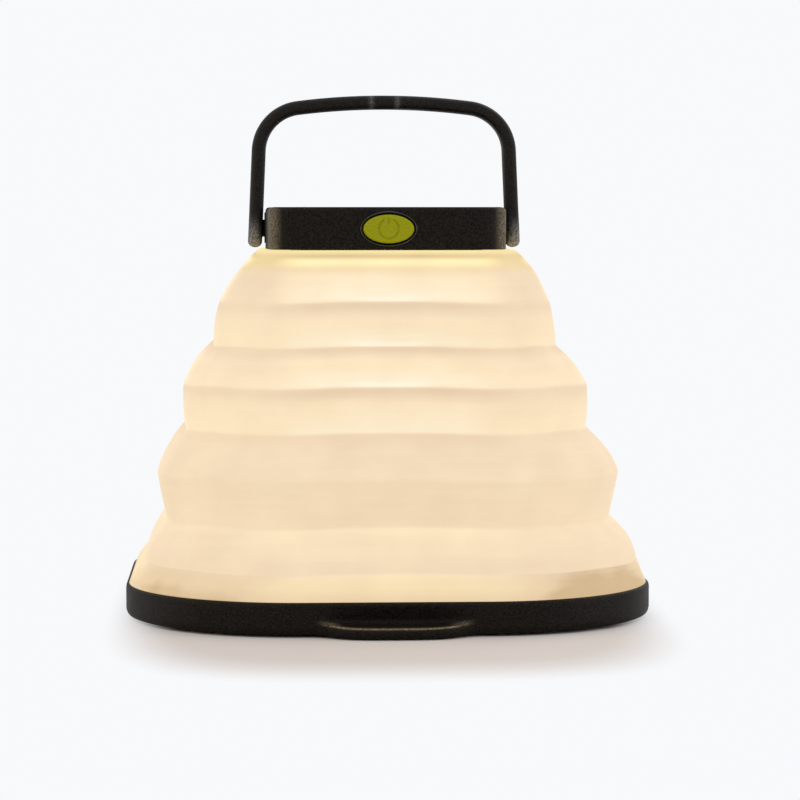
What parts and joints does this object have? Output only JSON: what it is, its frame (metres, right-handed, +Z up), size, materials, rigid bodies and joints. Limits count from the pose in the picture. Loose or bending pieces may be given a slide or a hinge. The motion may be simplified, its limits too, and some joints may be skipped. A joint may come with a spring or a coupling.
{
  "type": "collapsible camping lantern",
  "caption": "Camping lantern with a pleated silicone shade that folds flat, a small cap with a push button and solar panel, and a swinging handle.",
  "frame": {"origin": "middle of the foot's underside, on the surface that the lantern stands on", "axes": "+Z up, -Y towards the front with the button and the thumb lip, +X to the right seen from the front"},
  "size_m": [0.0942, 0.0982, 0.0937],
  "materials": {
    "black_abs": "fine-textured moulded black",
    "steel": "plain zinc-plated",
    "foot_rubber": "matt black",
    "white_sheet": "white reflective sheet",
    "white_abs": "moulded white",
    "lit_silicone": "translucent warm white, lit from inside",
    "dark_laminate": "dark laminate",
    "solar_cell": "blue-black silicon",
    "clear_sheet": "clear sheet",
    "circuit_board": "green solder mask",
    "foil_pouch": "foil pouch",
    "foam": "grey foam",
    "wire": "insulated",
    "white_board": "white solder mask",
    "lamp": "warm white lamp",
    "frosted_polycarbonate": "frosted",
    "grey_plastic": "moulded grey",
    "green_rubber": "satin yellow-green",
    "flap_rubber": "matt black"
  },
  "bodies": {
    "base": {"base_rim": "black_abs", "base_plate": "black_abs", "base_screws": "steel", "foot_pad": "foot_rubber", "reflector_plate": "white_sheet", "clamp_ring": "white_abs", "bellows": "lit_silicone"},
    "head": {"neck_ring": "white_abs", "cap_housing": "black_abs", "cap_floor": "black_abs", "cap_screws": "steel", "solar_board": "dark_laminate", "solar_cells": "solar_cell", "solar_cover": "clear_sheet", "control_board": "circuit_board", "battery": "foil_pouch", "battery_tape": "foam", "battery_wires": "wire", "led_board": "white_board", "leds": "lamp", "led_wires": "wire", "led_lens": "frosted_polycarbonate", "switch_body": "grey_plastic", "usb_socket": "steel"},
    "handle": {"handle": "black_abs"},
    "button": {"power_button": "green_rubber", "switch_plunger": "grey_plastic"},
    "usb_cover": {"usb_cover": "flap_rubber"}
  },
  "joints": [
    {"name": "collapse", "type": "slide", "parent": "base", "child": "head", "axis": [0, 0, -1], "range_m": [0, 0.043], "deforming": ["bellows"]},
    {"name": "handle_swing", "type": "hinge", "parent": "head", "child": "handle", "pos_m": [0, 0, 0.0694], "axis": [1, 0, 0], "range_deg": [-75, 90]},
    {"name": "button_press", "type": "slide", "parent": "head", "child": "button", "axis": [0, 1, 0], "range_m": [0, 0.0008], "stiffness_N_per_m": 300},
    {"name": "usb_cover_open", "type": "hinge", "parent": "head", "child": "usb_cover", "pos_m": [0.0062, 0.0191, 0.0694], "axis": [0, 0, -1], "range_deg": [0, 90]}
  ]
}
